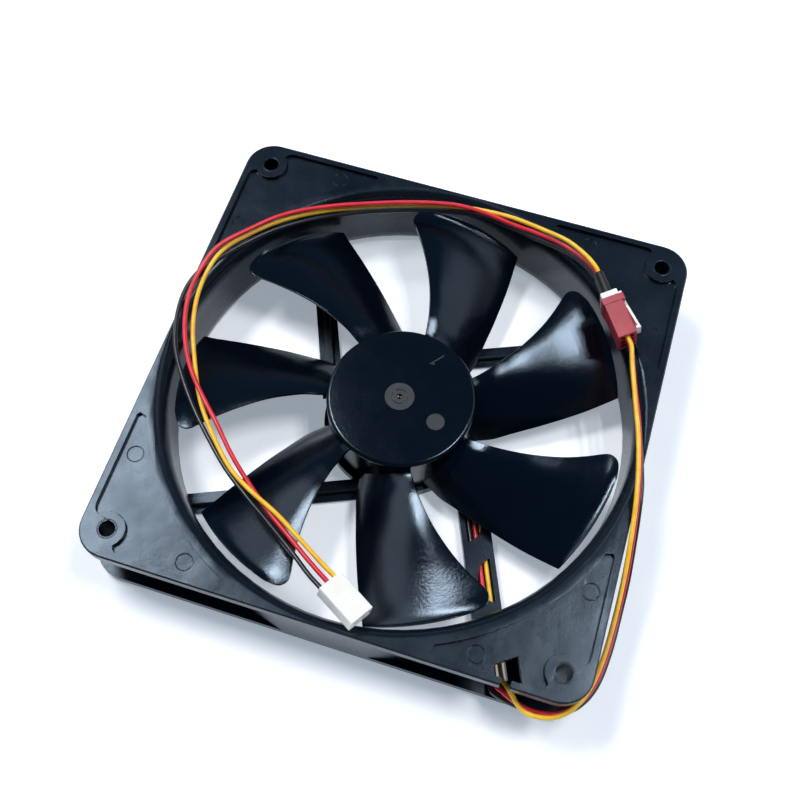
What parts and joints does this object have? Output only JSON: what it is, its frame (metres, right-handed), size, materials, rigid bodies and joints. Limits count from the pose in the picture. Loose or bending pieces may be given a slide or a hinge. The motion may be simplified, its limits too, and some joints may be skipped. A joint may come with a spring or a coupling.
{
  "type": "computer case fan",
  "caption": "Square axial case fan with curved blades on a round hub, offset struts, a three-wire lead and an extension lead plugged into it.",
  "frame": {"origin": "middle of the frame's rear (exhaust) face, which stands on the table", "axes": "+Z out of the front (intake) face along the impeller's axis; +X along the side from which the wire strut's corner is on the right; +Y along the other side"},
  "size_m": [0.1452, 0.1438, 0.0352],
  "materials": {
    "frame_plastic": "fine moulded grain",
    "impeller_plastic": "satin gloss",
    "white_nylon": "smooth",
    "red_nylon": "smooth",
    "bright_steel": "bright",
    "stator_iron": "stamped sheets",
    "enamelled_copper": "enamelled wire",
    "bearing_bronze": "turned",
    "board_green": "solder mask",
    "chip_black": "moulded",
    "magnet_rubber": "bonded ferrite",
    "label_film": "printed film with no text",
    "sleeve_black": "shrunk sleeve",
    "wire_yellow": "PVC insulation",
    "wire_red": "PVC insulation",
    "wire_black": "PVC insulation"
  },
  "bodies": {
    "frame": {"fan_frame": "frame_plastic", "rear_label": "label_film", "bearing_cap": "chip_black", "bearing_tube": "bearing_bronze", "sleeve_bearing": "bearing_bronze", "thrust_washer": "white_nylon", "circuit_board": "board_green", "driver_chip": "chip_black", "hall_sensor": "chip_black", "capacitor": "bright_steel", "lower_insulator": "white_nylon", "stator_core": "stator_iron", "upper_insulator": "white_nylon", "coil_1": "enamelled_copper", "coil_2": "enamelled_copper", "coil_3": "enamelled_copper", "coil_4": "enamelled_copper", "motor_wire_yellow": "wire_yellow", "motor_wire_red": "wire_red", "motor_wire_black": "wire_black", "pin_housing": "red_nylon", "pin_contact_1": "bright_steel", "pin_contact_2": "bright_steel", "pin_contact_3": "bright_steel", "plug_housing": "white_nylon", "socket_contact_1": "bright_steel", "socket_contact_2": "bright_steel", "socket_contact_3": "bright_steel", "heat_shrink_sleeve": "sleeve_black", "extension_wire_yellow": "wire_yellow", "extension_wire_red": "wire_red", "extension_wire_black": "wire_black", "end_housing": "white_nylon", "end_terminal_1": "bright_steel", "end_terminal_2": "bright_steel", "end_terminal_3": "bright_steel"},
    "rotor": {"impeller": "impeller_plastic", "rotor_yoke": "bright_steel", "magnet_ring": "magnet_rubber", "motor_shaft": "bright_steel", "retaining_clip": "bright_steel"},
    "latch": {"latch_lever": "white_nylon"}
  },
  "joints": [
    {"name": "rotor_spin", "type": "hinge", "parent": "frame", "child": "rotor", "pos_m": [0, 0, 0], "axis": [0, 0, 1], "continuous": true},
    {"name": "latch_press", "type": "hinge", "parent": "frame", "child": "latch", "pos_m": [0.05341, 0.04347, 0.03062], "axis": [0.1718, 0.1172, -0.9781], "range_deg": [0, 3.5], "stiffness_Nm_per_rad": 0.02}
  ]
}
